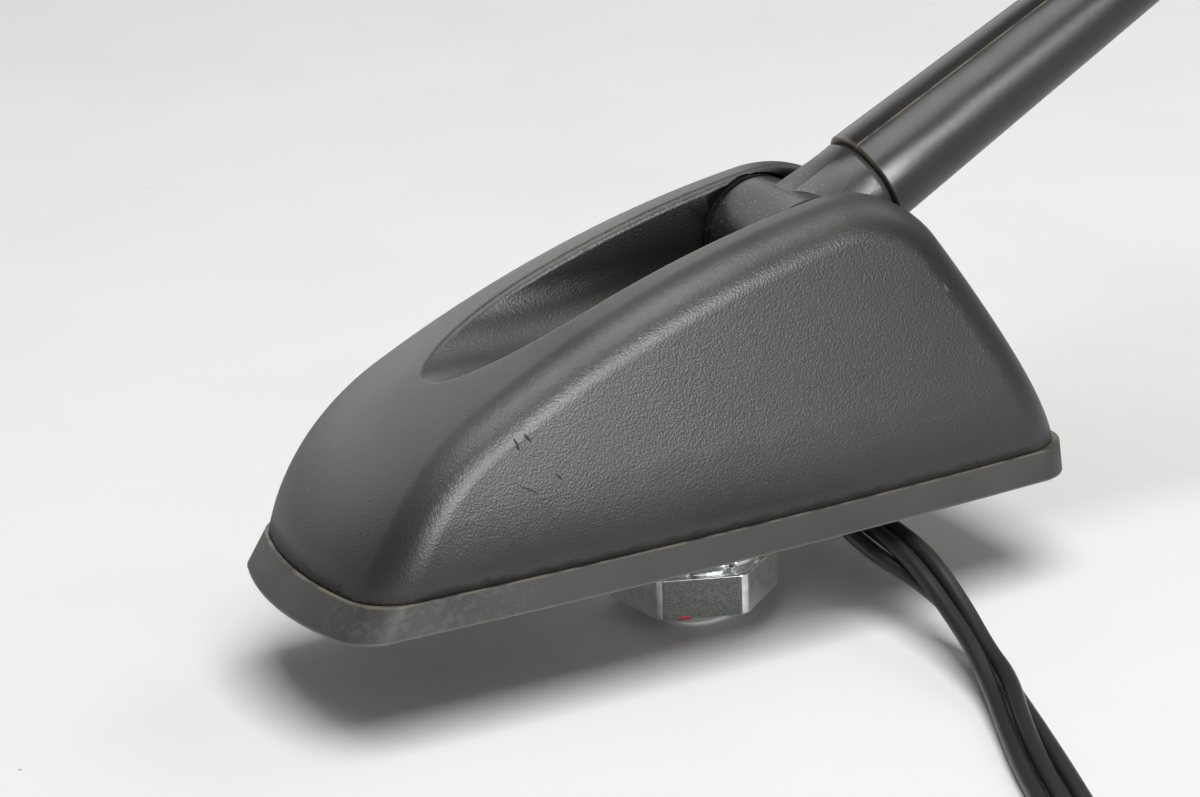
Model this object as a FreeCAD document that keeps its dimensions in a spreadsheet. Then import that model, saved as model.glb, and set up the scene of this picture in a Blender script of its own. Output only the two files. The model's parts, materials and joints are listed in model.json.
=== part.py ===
import FreeCAD, Part
import Sketcher
import math
import os

# Car roof antenna: a moulded cover with a stowing channel, on a die-cast base plate with a rubber
# gasket, and a mast on a hinge that leans back in use and folds forward into the channel.
# Millimetres. X runs from nose to tail, Z up from the car roof, the mounting stud on the Z axis.

V = FreeCAD.Vector
doc = FreeCAD.newDocument("roof_antenna")

# Driving dimensions
sizes = {
    # Cover, outside
    "seam_height": 5.0,
    "nose_reach": 66.8,
    "brow_reach": 47.0,
    "brow_height": 28.4,
    "roof_radius": 201.0,
    "apex_back": 44.0,
    "cheek_rise": 11.9,
    "tail_reach": 57.3,
    "rear_radius": 255.0,
    "rear_line_top_back": 22.2,
    "rear_line_top_height": 60.0,
    "nose_half_width": 19.6,
    "tail_half_width": 21.5,
    "side_radius": 1100.0,
    "side_lean": 8.4,
    "belt_height": 20.0,
    "belt_softness": 2.0,
    "skirt_draft": 0.25,
    "belt_lean": 0.95,
    "flank_height": 36.0,
    "flank_lean": 3.5,
    "skirt_front": 75.0,
    "skirt_rear": 64.0,
    "skirt_spare": 4.7,
    "nose_bow_radius": 56.0,
    "nose_bow_half": 30.0,
    "trim_margin": 20.0,
    "shoulder_radius": 20.0,
    "ridge_radius": 7.0,
    # Stowing channel and hinge slot
    "slot_half": 9.0,
    "seat_reach": 10.5,
    "ramp_length": 60.0,
    "ramp_root": 1.5,
    "lip_radius": 1.2,
    "ramp_clearance": 0.7,
    # Cover, inside
    "cavity_front": 42.0,
    "cavity_rear": 40.0,
    "cavity_half": 17.0,
    "cavity_corner": 5.0,
    "cavity_depth": 21.0,
    "boss_front": 36.5,
    "boss_rear": 34.5,
    "boss_half": 12.0,
    "boss_radius": 3.2,
    "piece_clearance": 0.4,
    # Hinge
    "hinge_back": 18.0,
    "hinge_height": 39.4,
    "mast_lean": 27.3,
    "pin_radius": 2.5,
    "pin_running_clearance": 0.05,
    "disc_radius": 9.0,
    "disc_thickness": 1.4,
    "disc_gap": 0.2,
    "ear_thickness": 2.8,
    "ear_half": 6.5,
    "bracket_foot": 4.0,
    "bracket_foot_reach": 10.0,
    "clip_thickness": 0.6,
    "clip_radius": 4.2,
    "pin_end": 1.0,
    # Knuckle and neck
    "barrel_half": 8.6,
    "barrel_radius": 9.0,
    "barrel_round": 1.2,
    "neck_start": 4.0,
    "neck_end": 15.5,
    "neck_top": 8.0,
    "neck_top_half": 2.4,
    "neck_shoulder": 2.2,
    "neck_half": 7.2,
    "neck_belly": 5.6,
    "neck_bottom": 7.4,
    "neck_bottom_half": 4.4,
    "neck_round": 7.7,
    # Mast
    "mast_foot": 16.4,
    "mast_foot_radius": 8.3,
    "mast_tip_radius": 3.6,
    "mast_length": 187.5,
    "mast_tip_round": 3.2,
    "mast_lip": 0.6,
    "ferrule_radius": 5.0,
    "ferrule_length": 16.0,
    "mast_thread_radius": 3.0,
    "mast_thread_length": 7.0,
    "rod_radius": 1.8,
    "rod_length": 172.0,
    "ring_radius": 7.2,
    # Gasket
    "gasket_overhang": 0.4,
    "gasket_nose_flare": 3.7,
    "gasket_side_flare": 0.7,
    "gasket_nose_half": 15.9,
    "gasket_nose_corner": 7.6,
    "gasket_chest": 58.2,
    "gasket_chest_half": 20.8,
    "gasket_rump": 50.3,
    "gasket_rump_half": 22.1,
    "gasket_tail_half": 15.4,
    "gasket_tail_corner": 7.0,
    "gasket_tail_lip": 0.8,
    "gasket_flange": 1.5,
    "gasket_opening_front": 34.0,
    "gasket_opening_rear": 33.0,
    "gasket_opening_half": 12.0,
    # Base plate, stud, nut and washer
    "plate_thickness": 5.0,
    "plate_inset": 0.4,
    "standoff_radius": 2.8,
    "standoff_height": 2.6,
    "stud_radius": 7.0,
    "stud_end": 17.5,
    "stud_chamfer": 1.2,
    "nut_width": 24.0,
    "nut_corner_radius": 13.35,
    "nut_height": 6.8,
    "nut_top": 7.3,
    "nut_collar_radius": 11.2,
    "nut_collar_height": 0.5,
    "thread_clearance": 0.05,
    "washer_radius": 11.8,
    "washer_thickness": 1.2,
    "washer_tooth_depth": 1.3,
    "nut_turn": 36.7,
    # Circuit board and what it carries
    "board_front": 32.0,
    "board_length": 37.0,
    "board_half": 11.5,
    "board_thickness": 1.6,
    "board_hole_inset": 3.0,
    "can_length": 11.5,
    "can_half": 5.3,
    "can_height": 5.0,
    "can_wall": 0.4,
    "can_front": 9.0,
    "patch_half": 8.0,
    "patch_thickness": 4.0,
    "patch_front": 26.0,
    "strip_thickness": 0.4,
    "strip_half": 3.0,
    "strip_start": 2.0,
    "strip_drop": 3.2,
    # Screws
    "screw_radius": 1.3,
    "screw_head_radius": 2.6,
    "screw_head_height": 1.8,
    "screw_length": 9.0,
    "board_screw_length": 4.0,
    "bracket_screw_length": 6.5,
    "bracket_screw_half": 5.0,
    "bracket_screw_step": 7.0,
    # Cables
    "cable_diameter": 2.6,
    "boot_back": 24.4,
    "boot_length": 11.4,
    "boot_far": 1.0,
    "boot_near": 7.0,
    "boot_far_drop": 1.5,
    "boot_heel": 2.0,
    "boot_heel_drop": 6.0,
    "boot_toe": 9.5,
    "boot_sole": 6.6,
    "boot_brow": 2.4,
    "boot_neck": 1.0,
    "connector_length": 15.0,
    "connector_half": 3.2,
    "relief_length": 7.0,
    "relief_radius": 2.2,
    "socket_radius": 2.0,
    "socket_depth": 9.0,
}
sheet = doc.addObject("Spreadsheet::Sheet", "Sizes")
for row, (alias, value) in enumerate(sizes.items(), 1):
    sheet.set(f"A{row}", alias)
    sheet.set(f"B{row}", str(value))
    sheet.setAlias(f"B{row}", alias)
doc.recompute()


def cell(words):
    """A sum or product of sheet names, written without the sheet's own name, as an expression."""
    out = []
    for word in words.replace("(", "( ").replace(")", " )").split():
        sign = "-" if word.startswith("-") and len(word) > 1 else ""
        name = word[len(sign):]
        out.append(sign + ("Sizes." + name if name in sizes else name))
    return " ".join(out)


def bind(piece, **places):
    for name, words in places.items():
        piece.setExpression(name.replace("__", "."), cell(words))


def place(piece, x="0", y="0", z="0"):
    bind(piece, Placement__Base__x=x, Placement__Base__y=y, Placement__Base__z=z)


def new_body(label):
    body = doc.addObject("PartDesign::Body", label)
    body.Label = label
    return body


def sketch_on(body, name, role, lift=None, shift=None):
    sketch = body.newObject("Sketcher::SketchObject", name)
    plane = next(flat for flat in body.Origin.OriginFeatures if flat.Role == role)
    sketch.AttachmentSupport = (plane, [""])
    sketch.MapMode = "FlatFace"
    if lift:
        sketch.setExpression("AttachmentOffset.Base.z", cell(lift))
    if shift:
        sketch.setExpression("AttachmentOffset.Base.x", cell(shift))
    return sketch


def outline(sketch, corners, arcs=None, closed=True):
    """Draws the outline through corners, each a pair of expressions. arcs gives the radius of a side
    that is round, with a minus where it bulges to the right, or "smooth" where it runs into the next."""
    arcs = arcs or {}
    count = len(corners)
    for number, pair in enumerate(corners):
        sketch.addGeometry(Part.Point(V(number, 1, 0)), True)
        for kind, axis, words in zip(("DistanceX", "DistanceY"), (-2, -1), pair):
            if words == "0":
                sketch.addConstraint(Sketcher.Constraint("PointOnObject", number, 1, axis))
            else:
                index = sketch.addConstraint(Sketcher.Constraint(kind, -1, 1, number, 1, 1.0 + number))
                sketch.setExpression(f"Constraints[{index}]", cell(words))
    doc.recompute()
    points = [sketch.getPoint(number, 1) for number in range(count)]
    ends = {}
    for number in range(count if closed else count - 1):
        after = (number + 1) % count
        start, end = points[number], points[after]
        chord = (end - start).Length
        words = arcs.get(number)
        if words is None:
            side = sketch.addGeometry(Part.LineSegment(start, end))
            first, last = 1, 2
        else:
            bulge = -0.1 if words.startswith("-") else 0.1
            normal = V(start.y - end.y, end.x - start.x, 0).normalize()
            side = sketch.addGeometry(Part.Arc(start, (start + end) * 0.5 + normal * (bulge * chord), end))
            turned = (sketch.getPoint(side, 1) - start).Length > (sketch.getPoint(side, 2) - start).Length
            first, last = (2, 1) if turned else (1, 2)
            if words.lstrip("-") != "smooth":
                index = sketch.addConstraint(Sketcher.Constraint("Radius", side, 1.3 * chord))
                sketch.setExpression(f"Constraints[{index}]", cell(words.lstrip("-")))
        sketch.addConstraint(Sketcher.Constraint("Coincident", side, first, number, 1))
        if words is None or words.lstrip("-") != "smooth":
            sketch.addConstraint(Sketcher.Constraint("Coincident", side, last, after, 1))
        ends[number] = (side, first, last)
    for number, words in arcs.items():
        if words.lstrip("-") == "smooth":
            side, _, last = ends[number]
            following, first, _ = ends[(number + 1) % count]
            sketch.addConstraint(Sketcher.Constraint("Tangent", side, last, following, first))
    doc.recompute()


def circle(sketch, x, y, radius):
    ring = sketch.addGeometry(Part.Circle(V(1, 1, 0), V(0, 0, 1), 1.0))
    for kind, axis, words in (("DistanceX", -2, x), ("DistanceY", -1, y)):
        if words == "0":
            sketch.addConstraint(Sketcher.Constraint("PointOnObject", ring, 3, axis))
        else:
            index = sketch.addConstraint(Sketcher.Constraint(kind, -1, 1, ring, 3, 1.0))
            sketch.setExpression(f"Constraints[{index}]", cell(words))
    index = sketch.addConstraint(Sketcher.Constraint("Radius", ring, 1.0))
    sketch.setExpression(f"Constraints[{index}]", cell(radius))
    doc.recompute()


def rounded_slab(sketch, front, rear, half, corner):
    """A rectangle from front to rear, half wide on each side, with round corners."""
    low, high = f"-{half}", half
    outline(
        sketch,
        [
            (f"{front} + {corner}", low), (f"{rear} - {corner}", low),
            (rear, f"{low} + {corner}"), (rear, f"{high} - {corner}"),
            (f"{rear} - {corner}", high), (f"{front} + {corner}", high),
            (front, f"{high} - {corner}"), (front, f"{low} + {corner}"),
        ],
        {1: f"-{corner}", 3: f"-{corner}", 5: f"-{corner}", 7: f"-{corner}"},
    )


def feature(body, kind, name, sketch, **settings):
    made = body.newObject("PartDesign::" + kind, name)
    made.Profile = sketch
    for key, value in settings.items():
        if isinstance(value, str) and key in ("Length", "Length2"):
            made.setExpression(key, cell(value))
        else:
            setattr(made, key, value)
    doc.recompute()
    return made


def edges_where(shape, test):
    return [f"Edge{number}" for number, edge in enumerate(shape.Edges, 1) if test(edge.BoundBox)]


def fillet(body, name, base, radius, edges):
    made = body.newObject("PartDesign::Fillet", name)
    made.Base = (base, edges)
    made.setExpression("Radius", cell(radius))
    doc.recompute()
    return made


def primitive(kind, name, **places):
    piece = doc.addObject("Part::" + kind, name)
    bind(piece, **places)
    return piece


def cut(name, base, tool):
    piece = doc.addObject("Part::Cut", name)
    piece.Base = base
    piece.Tool = tool
    return piece


def fused(name, pieces):
    piece = doc.addObject("Part::MultiFuse", name)
    piece.Shapes = pieces
    return piece


def together(name, pieces):
    """Separate solids that count as one piece."""
    piece = doc.addObject("Part::Compound", name)
    piece.Links = pieces
    return piece


channel_floor = "hinge_height - barrel_radius - ramp_clearance"
apex_height = "( hinge_height + cheek_rise )"
skirt_top = f"( {apex_height} + skirt_spare )"


def cut_channel(body):
    """The round trough that the folded mast lies in, the hinge's slot behind it, and the mast's ramp."""
    trough = sketch_on(body, "channel_line", "YZ_Plane", "hinge_back - seat_reach")
    middle = f"{channel_floor} + slot_half"
    outline(
        trough,
        [
            ("slot_half", f"{skirt_top} + trim_margin"), ("-slot_half", f"{skirt_top} + trim_margin"),
            ("-slot_half", middle), ("0", channel_floor), ("slot_half", middle),
        ],
        {2: "-slot_half", 3: "-slot_half"},
    )
    feature(body, "Pocket", "channel", trough, Length="skirt_front + trim_margin + hinge_back")

    slot = sketch_on(body, "slot_line", "XY_Plane", channel_floor)
    outline(
        slot,
        [
            ("hinge_back - seat_reach", "-slot_half"), ("skirt_rear + trim_margin", "-slot_half"),
            ("skirt_rear + trim_margin", "slot_half"), ("hinge_back - seat_reach", "slot_half"),
        ],
    )
    feature(body, "Pocket", "hinge_slot", slot, Length=skirt_top, Reversed=True)

    seat = "( barrel_radius + ramp_clearance )"
    drop = "( mast_foot_radius + ramp_clearance )"
    meet = f"sqrt( {seat} ^ 2 - {drop} ^ 2 )"

    def on_ramp(along):
        return (
            f"hinge_back + {drop} * sin( mast_lean ) + {along} * cos( mast_lean )",
            f"hinge_height - {drop} * cos( mast_lean ) + {along} * sin( mast_lean )",
        )

    end = on_ramp("ramp_length")
    bottom = f"{channel_floor} - ramp_root"
    ramp = sketch_on(body, "mast_rest_line", "XZ_Plane")
    outline(
        ramp,
        [("hinge_back", bottom), (end[0], bottom), end, on_ramp(meet), ("hinge_back", channel_floor)],
        {3: "-" + seat},
    )
    return feature(body, "Pad", "mast_rest", ramp, Length="2 * ( slot_half + ramp_root )", Midplane=True)


def rim_edges(shape):
    """The edges where the channel's and the slot's walls come out through the outside of the cover."""
    names = []
    for number, edge in enumerate(shape.Edges, 1):
        boxes = [face.BoundBox for face in shape.ancestorsOfType(edge, Part.Face)]
        reach = [max(box.YMax, -box.YMin) for box in boxes]
        on_ramp = edge.BoundBox.XMin > sizes["hinge_back"] and edge.BoundBox.YMin < 0 < edge.BoundBox.YMax
        if min(reach) < sizes["slot_half"] + sizes["lip_radius"] / 2 < max(reach) and not on_ramp:
            names.append(f"Edge{number}")
    return names


# Cover: side walls lofted from the upright skirt over a soft belt line to the leaning flanks, roof line swept
# across along the bowed nose, channel and slot cut in, rear cut off, then shoulder, ridges and lips rounded
def make_cover():
    body = new_body("cover")

    def walls(name, height, lean):
        sketch = sketch_on(body, name, "XY_Plane", height)
        outline(
            sketch,
            [
                ("-skirt_front", f"-nose_half_width + {lean}"), ("skirt_rear", f"-tail_half_width + {lean}"),
                ("skirt_rear", f"tail_half_width - {lean}"), ("-skirt_front", f"nose_half_width - {lean}"),
            ],
            {0: "-side_radius", 2: "-side_radius"},
        )
        return sketch

    low = walls("skirt_low", "seam_height", "0")
    above = [
        walls("belt_low", "belt_height - belt_softness", "skirt_draft"),
        walls("belt_high", "belt_height + belt_softness", "belt_lean"),
        walls("flank_middle", "flank_height", "flank_lean"),
        walls("flank_top", skirt_top, "side_lean"),
    ]
    feature(body, "AdditiveLoft", "skirt", low, Sections=above)

    bow_depth = "nose_bow_radius - sqrt( nose_bow_radius ^ 2 - nose_bow_half ^ 2 )"
    bow = sketch_on(body, "nose_bow", "XY_Plane")
    outline(bow, [(bow_depth, "-nose_bow_half"), (bow_depth, "nose_bow_half")], {0: "nose_bow_radius"}, False)
    roof = sketch_on(body, "roof_line", "XZ_Plane", "nose_bow_half", bow_depth)
    outline(
        roof,
        [
            ("-nose_reach", "seam_height"), ("-brow_reach", "brow_height"), ("apex_back", apex_height),
            ("skirt_rear + trim_margin", apex_height),
            ("skirt_rear + trim_margin", f"{skirt_top} + trim_margin"),
            ("-skirt_front - trim_margin", f"{skirt_top} + trim_margin"),
            ("-skirt_front - trim_margin", "seam_height"),
        ],
        {0: "smooth", 1: "roof_radius"},
    )
    feature(body, "SubtractivePipe", "roof_cut", roof, Spine=(bow, []), Mode="Fixed")

    cut_channel(body)
    rear = sketch_on(body, "rear_line", "XZ_Plane")
    outline(
        rear,
        [
            ("tail_reach", "seam_height"), ("rear_line_top_back", "rear_line_top_height"),
            ("rear_line_top_back", f"{skirt_top} + trim_margin"),
            ("skirt_rear + trim_margin", f"{skirt_top} + trim_margin"),
            ("skirt_rear + trim_margin", "seam_height"),
        ],
        {0: "-rear_radius"},
    )
    trimmed = feature(body, "Pocket", "rear_cut", rear, Type="ThroughAll", Midplane=True)

    def across_cheek(box):
        return box.YMin * box.YMax > 0 and box.YLength > 2 * box.ZLength and box.XMin > sizes["hinge_back"]

    def along_flank(box):
        outside = max(box.YMax, -box.YMin) > sizes["slot_half"] + sizes["ridge_radius"]
        return box.ZLength > 1 and box.YMin * box.YMax > 0 and outside

    shoulder = fillet(body, "shoulder", trimmed, "shoulder_radius", edges_where(trimmed.Shape, across_cheek))
    ridged = fillet(body, "ridges", shoulder, "ridge_radius", edges_where(shoulder.Shape, along_flank))
    fillet(body, "lips", ridged, "lip_radius", rim_edges(ridged.Shape))
    return body


def hollow_cover(body):
    """The space over the base plate, the screw bosses in it, and the pockets for the hinge bracket's ears."""
    plate_top = "gasket_flange + plate_thickness"
    hollow = sketch_on(body, "cavity_line", "XY_Plane", "seam_height")
    rounded_slab(hollow, "-cavity_front", "cavity_rear", "cavity_half", "cavity_corner")
    feature(body, "Pocket", "cavity", hollow, Length="cavity_depth", Reversed=True)

    bosses = sketch_on(body, "boss_line", "XY_Plane", plate_top)
    pilots = sketch_on(body, "pilot_line", "XY_Plane", plate_top)
    for x, y in boss_places:
        circle(bosses, x, y, "boss_radius")
        circle(pilots, x, y, "screw_radius + thread_clearance")
    feature(body, "Pad", "bosses", bosses, Length=f"seam_height + cavity_depth - ( {plate_top} )")
    feature(body, "Pocket", "boss_pilots", pilots, Length="screw_length", Reversed=True)

    inner = "( slot_half + disc_thickness )"
    depth = "( ear_thickness + pin_end + piece_clearance )"
    round_top = "( ear_half + piece_clearance )"
    for side, lift in (("near", inner), ("far", f"-1 * ( {inner} + {depth} )")):
        pocket = sketch_on(body, "ear_pocket_line_" + side, "XZ_Plane", lift)
        fore, aft = f"hinge_back - {round_top}", f"hinge_back + {round_top}"
        outline(
            pocket,
            [
                (fore, "seam_height"), (aft, "seam_height"), (aft, "hinge_height"),
                ("hinge_back", f"hinge_height + {round_top}"), (fore, "hinge_height"),
            ],
            {2: "-" + round_top, 3: "-" + round_top},
        )
        feature(body, "Pocket", "ear_pocket_" + side, pocket, Length=depth, Reversed=True)
    opening = sketch_on(body, "disc_opening_line", "XZ_Plane")
    circle(opening, "hinge_back", "hinge_height", "disc_radius + disc_gap")
    between = "2 * ( slot_half + disc_thickness )"
    feature(body, "Pocket", "disc_openings", opening, Length=between, Midplane=True)


boss_places = [(x, y) for x in ("-boss_front", "boss_rear") for y in ("-boss_half", "boss_half")]


# Base gasket: a rubber ring that flares out towards the car, with an inner flange under the base plate
def make_gasket():
    body = new_body("base_gasket")

    def rim(name, height, nose, side, tail):
        """The gasket's outline, standing out from the cover's by nose, side and tail."""
        sketch = sketch_on(body, name, "XY_Plane", height)
        front = f"-nose_reach - {nose} + nose_bow_radius - sqrt( nose_bow_radius ^ 2 - gasket_nose_half ^ 2 )"
        half = [
            (front, "gasket_nose_half"), (f"-gasket_chest - {nose} / 2", f"gasket_chest_half + {side}"),
            (f"gasket_rump + {tail}", f"gasket_rump_half + {side}"),
            (f"tail_reach + {tail}", f"gasket_tail_half + {side}"),
        ]
        near = [(x, f"-1 * ( {y} )") for x, y in half]
        outline(
            sketch,
            near + half[::-1],
            {
                0: "-gasket_nose_corner", 1: "-side_radius", 2: "-gasket_tail_corner",
                4: "-gasket_tail_corner", 5: "-side_radius", 6: "-gasket_nose_corner", 7: "-nose_bow_radius",
            },
        )
        return sketch

    foot = rim("foot_line", None, "gasket_nose_flare", "gasket_side_flare", "gasket_tail_lip")
    top = rim("top_line", "seam_height", "gasket_overhang", "gasket_overhang", "gasket_overhang")
    feature(body, "AdditiveLoft", "ring", foot, Sections=[top], Ruled=True)
    bed = sketch_on(body, "bed_line", "XY_Plane", "seam_height")
    rounded_slab(bed, "-cavity_front", "cavity_rear", "cavity_half", "cavity_corner")
    feature(body, "Pocket", "bed", bed, Length="seam_height - gasket_flange")
    window = sketch_on(body, "opening_line", "XY_Plane", "seam_height")
    rounded_slab(
        window, "-gasket_opening_front", "gasket_opening_rear", "gasket_opening_half", "cavity_corner"
    )
    feature(body, "Pocket", "opening", window, Type="ThroughAll")
    return body


# Base plate: a zinc casting with the board's standoffs, the mounting stud and holes for screws and cables
def make_base_plate():
    body = new_body("base_plate")
    slab = sketch_on(body, "plate_line", "XY_Plane", "gasket_flange")
    rounded_slab(
        slab, "-cavity_front + plate_inset", "cavity_rear - plate_inset", "1 * ( cavity_half - plate_inset )",
        "cavity_corner",
    )
    feature(body, "Pad", "plate", slab, Length="plate_thickness")
    stud = sketch_on(body, "stud_line", "XY_Plane", "gasket_flange")
    circle(stud, "0", "0", "stud_radius")
    post = feature(body, "Pad", "stud", stud, Length="gasket_flange + stud_end", Reversed=True)
    end = body.newObject("PartDesign::Chamfer", "stud_end_chamfer")
    end.Base = (post, edges_where(post.Shape, lambda box: box.ZMax < 1 - sizes["stud_end"]))
    end.setExpression("Size", cell("stud_chamfer"))
    doc.recompute()
    plate_top = "gasket_flange + plate_thickness"
    stands = sketch_on(body, "standoff_line", "XY_Plane", plate_top)
    pilots = sketch_on(body, "standoff_pilot_line", "XY_Plane", f"{plate_top} + standoff_height")
    for x, y in board_holes:
        circle(stands, x, y, "standoff_radius")
        circle(pilots, x, y, "screw_radius + thread_clearance")
    feature(body, "Pad", "standoffs", stands, Length="standoff_height")
    feature(body, "Pocket", "standoff_pilots", pilots, Length="board_screw_length")
    through = sketch_on(body, "screw_hole_line", "XY_Plane", plate_top)
    sinks = sketch_on(body, "screw_sink_line", "XY_Plane", "gasket_flange")
    for x, y in boss_places + bracket_holes:
        circle(through, x, y, "screw_radius + piece_clearance / 2")
        circle(sinks, x, y, "screw_head_radius + piece_clearance / 2")
    feature(body, "Pocket", "screw_holes", through, Length="plate_thickness")
    sink_depth = "screw_head_height + piece_clearance / 2"
    feature(body, "Pocket", "screw_sinks", sinks, Length=sink_depth, Reversed=True)
    gland = sketch_on(body, "cable_hole_line", "XY_Plane", plate_top)
    outline(gland, boot_corners)
    feature(body, "Pocket", "cable_hole", gland, Length="plate_thickness")
    return body


board_holes = [
    (x, y)
    for x in ("-board_front + board_hole_inset", "-board_front + board_length - board_hole_inset")
    for y in ("-1 * ( board_half - board_hole_inset )", "board_half - board_hole_inset")
]
bracket_holes = [
    ("hinge_back - bracket_screw_step", "-bracket_screw_half"),
    ("hinge_back - bracket_screw_step", "bracket_screw_half"),
]
boot_corners = [
    ("boot_back - boot_length / 2", "-boot_near"), ("boot_back + boot_length / 2", "-boot_near"),
    ("boot_back + boot_length / 2", "boot_far"), ("boot_back - boot_length / 2", "boot_far"),
]


# Hinge bracket: a casting with a foot screwed to the base plate and two ears that carry the pin
def make_bracket():
    body = new_body("hinge_bracket")
    plate_top = "gasket_flange + plate_thickness"
    inner = "( slot_half + disc_thickness )"
    outer = f"( {inner} + ear_thickness )"
    foot = sketch_on(body, "foot_line", "XY_Plane", plate_top)
    fore, aft = "hinge_back - bracket_foot_reach", "hinge_back + ear_half"
    notch = "boot_back - boot_length / 2 - piece_clearance"
    outline(
        foot,
        [
            (fore, f"-1 * {outer}"), (aft, f"-1 * {outer}"), (aft, f"-1 * {inner}"), (notch, f"-1 * {inner}"),
            (notch, inner), (aft, inner), (aft, outer), (fore, outer),
        ],
    )
    feature(body, "Pad", "foot", foot, Length="bracket_foot")
    for side in ("near", "far"):
        lift = inner if side == "near" else f"-1 * {outer}"
        ear = sketch_on(body, "ear_line_" + side, "XZ_Plane", lift)
        outline(
            ear,
            [
                ("hinge_back - ear_half", plate_top), ("hinge_back + ear_half", plate_top),
                ("hinge_back + ear_half", "hinge_height"), ("hinge_back", "hinge_height + ear_half"),
                ("hinge_back - ear_half", "hinge_height"),
            ],
            {2: "-ear_half", 3: "-ear_half"},
        )
        feature(body, "Pad", "ear_" + side, ear, Length="ear_thickness")
    bore = sketch_on(body, "pin_hole_line", "XZ_Plane")
    circle(bore, "hinge_back", "hinge_height", "pin_radius")
    feature(body, "Pocket", "pin_hole", bore, Type="ThroughAll", Midplane=True)
    holes = sketch_on(body, "bracket_hole_line", "XY_Plane", f"{plate_top} + bracket_foot")
    for x, y in bracket_holes:
        circle(holes, x, y, "screw_radius + thread_clearance")
    feature(body, "Pocket", "bracket_holes", holes, Length="bracket_foot")
    return body


def along_hinge(name, radius, y, length):
    """A round piece on the hinge axis, from y towards +Y."""
    piece = primitive("Cylinder", name, Radius=radius, Height=length)
    piece.Placement = FreeCAD.Placement(V(), FreeCAD.Rotation(V(1, 0, 0), -90))
    place(piece, "hinge_back", y, "hinge_height")
    return piece


def ring_on_hinge(name, radius, bore, y, length):
    return cut(
        name,
        along_hinge(name + "_blank", radius, y, length),
        along_hinge(name + "_bore", bore, f"{y} - piece_clearance", f"{length} + 2 * piece_clearance"),
    )


# Hinge pin with its two retaining clips, and the friction discs that show in the channel's walls
def make_hinge_fittings():
    reach = "( slot_half + disc_thickness + ear_thickness )"
    pin = along_hinge("hinge_pin", "pin_radius", f"-1 * ( {reach} + pin_end )", f"2 * ( {reach} + pin_end )")
    clips = [
        ring_on_hinge(name, "clip_radius", "pin_radius", y, "clip_thickness")
        for name, y in (("clip_near", f"-1 * ( {reach} + clip_thickness )"), ("clip_far", reach))
    ]
    discs = [
        ring_on_hinge(name, "disc_radius", "pin_radius", y, "disc_thickness")
        for name, y in (("disc_near", "-1 * ( slot_half + disc_thickness )"), ("disc_far", "slot_half"))
    ]
    return [pin, together("pin_clips", clips), together("friction_discs", discs)]


def on_mast(piece):
    """Turns a piece modelled along +Z from the hinge to where the mast leans at rest."""
    piece.Placement = FreeCAD.Placement(V(), FreeCAD.Rotation(V(0, 1, 0), 60))
    piece.setExpression("Placement.Rotation.Angle", cell("90 - mast_lean"))
    place(piece, "hinge_back", "0", "hinge_height")
    return piece


# Hinge knuckle: a round barrel on the pin, and a faceted neck that turns round where the mast screws on
def make_knuckle():
    body = on_mast(new_body("hinge_knuckle"))
    barrel = sketch_on(body, "barrel_line", "XZ_Plane")
    circle(barrel, "0", "0", "barrel_radius")
    drum = feature(body, "Pad", "barrel", barrel, Length="2 * barrel_half", Midplane=True)
    fillet(body, "barrel_rims", drum, "barrel_round", edges_where(drum.Shape, lambda box: box.YLength < 1))
    facets = sketch_on(body, "neck_low_line", "XY_Plane", "neck_start")
    outline(
        facets,
        [
            ("-neck_top", "-neck_top_half"), ("-neck_top", "neck_top_half"), ("-neck_shoulder", "neck_half"),
            ("neck_belly", "neck_half"), ("neck_bottom", "neck_bottom_half"),
            ("neck_bottom", "-neck_bottom_half"), ("neck_belly", "-neck_half"),
            ("-neck_shoulder", "-neck_half"),
        ],
    )
    rounds = sketch_on(body, "neck_high_line", "XY_Plane", "neck_end")
    turns = (165, 105, 50, 25)
    spots = [(f"neck_round * cos( {a} )", f"neck_round * sin( {a} )") for a in turns]
    low = [(x, f"-1 * {y}") for x, y in spots]
    outline(
        rounds,
        [low[0], spots[0], spots[1], spots[2], spots[3], low[3], low[2], low[1]],
        {side: "neck_round" for side in range(8)},
    )
    feature(body, "AdditiveLoft", "neck", facets, Sections=[rounds], Ruled=True)
    bore = sketch_on(body, "pin_bore_line", "XZ_Plane")
    circle(bore, "0", "0", "pin_radius + pin_running_clearance")
    feature(body, "Pocket", "pin_bore", bore, Type="ThroughAll", Midplane=True)
    socket = sketch_on(body, "mast_socket_line", "XY_Plane", "neck_end")
    circle(socket, "0", "0", "mast_thread_radius + thread_clearance")
    feature(body, "Pocket", "mast_socket", socket, Length="mast_thread_length + piece_clearance")
    return body


def turned(label, profile, arcs=None):
    """A round piece on the mast's axis, from the half section given as radius and distance from the hinge."""
    body = on_mast(new_body(label))
    sketch = sketch_on(body, label + "_section", "XZ_Plane")
    outline(sketch, profile, arcs)
    spun = body.newObject("PartDesign::Revolution", label + "_turned")
    spun.Profile = sketch
    spun.ReferenceAxis = (sketch, ["V_Axis"])
    spun.Angle = 360
    doc.recompute()
    return body


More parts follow.
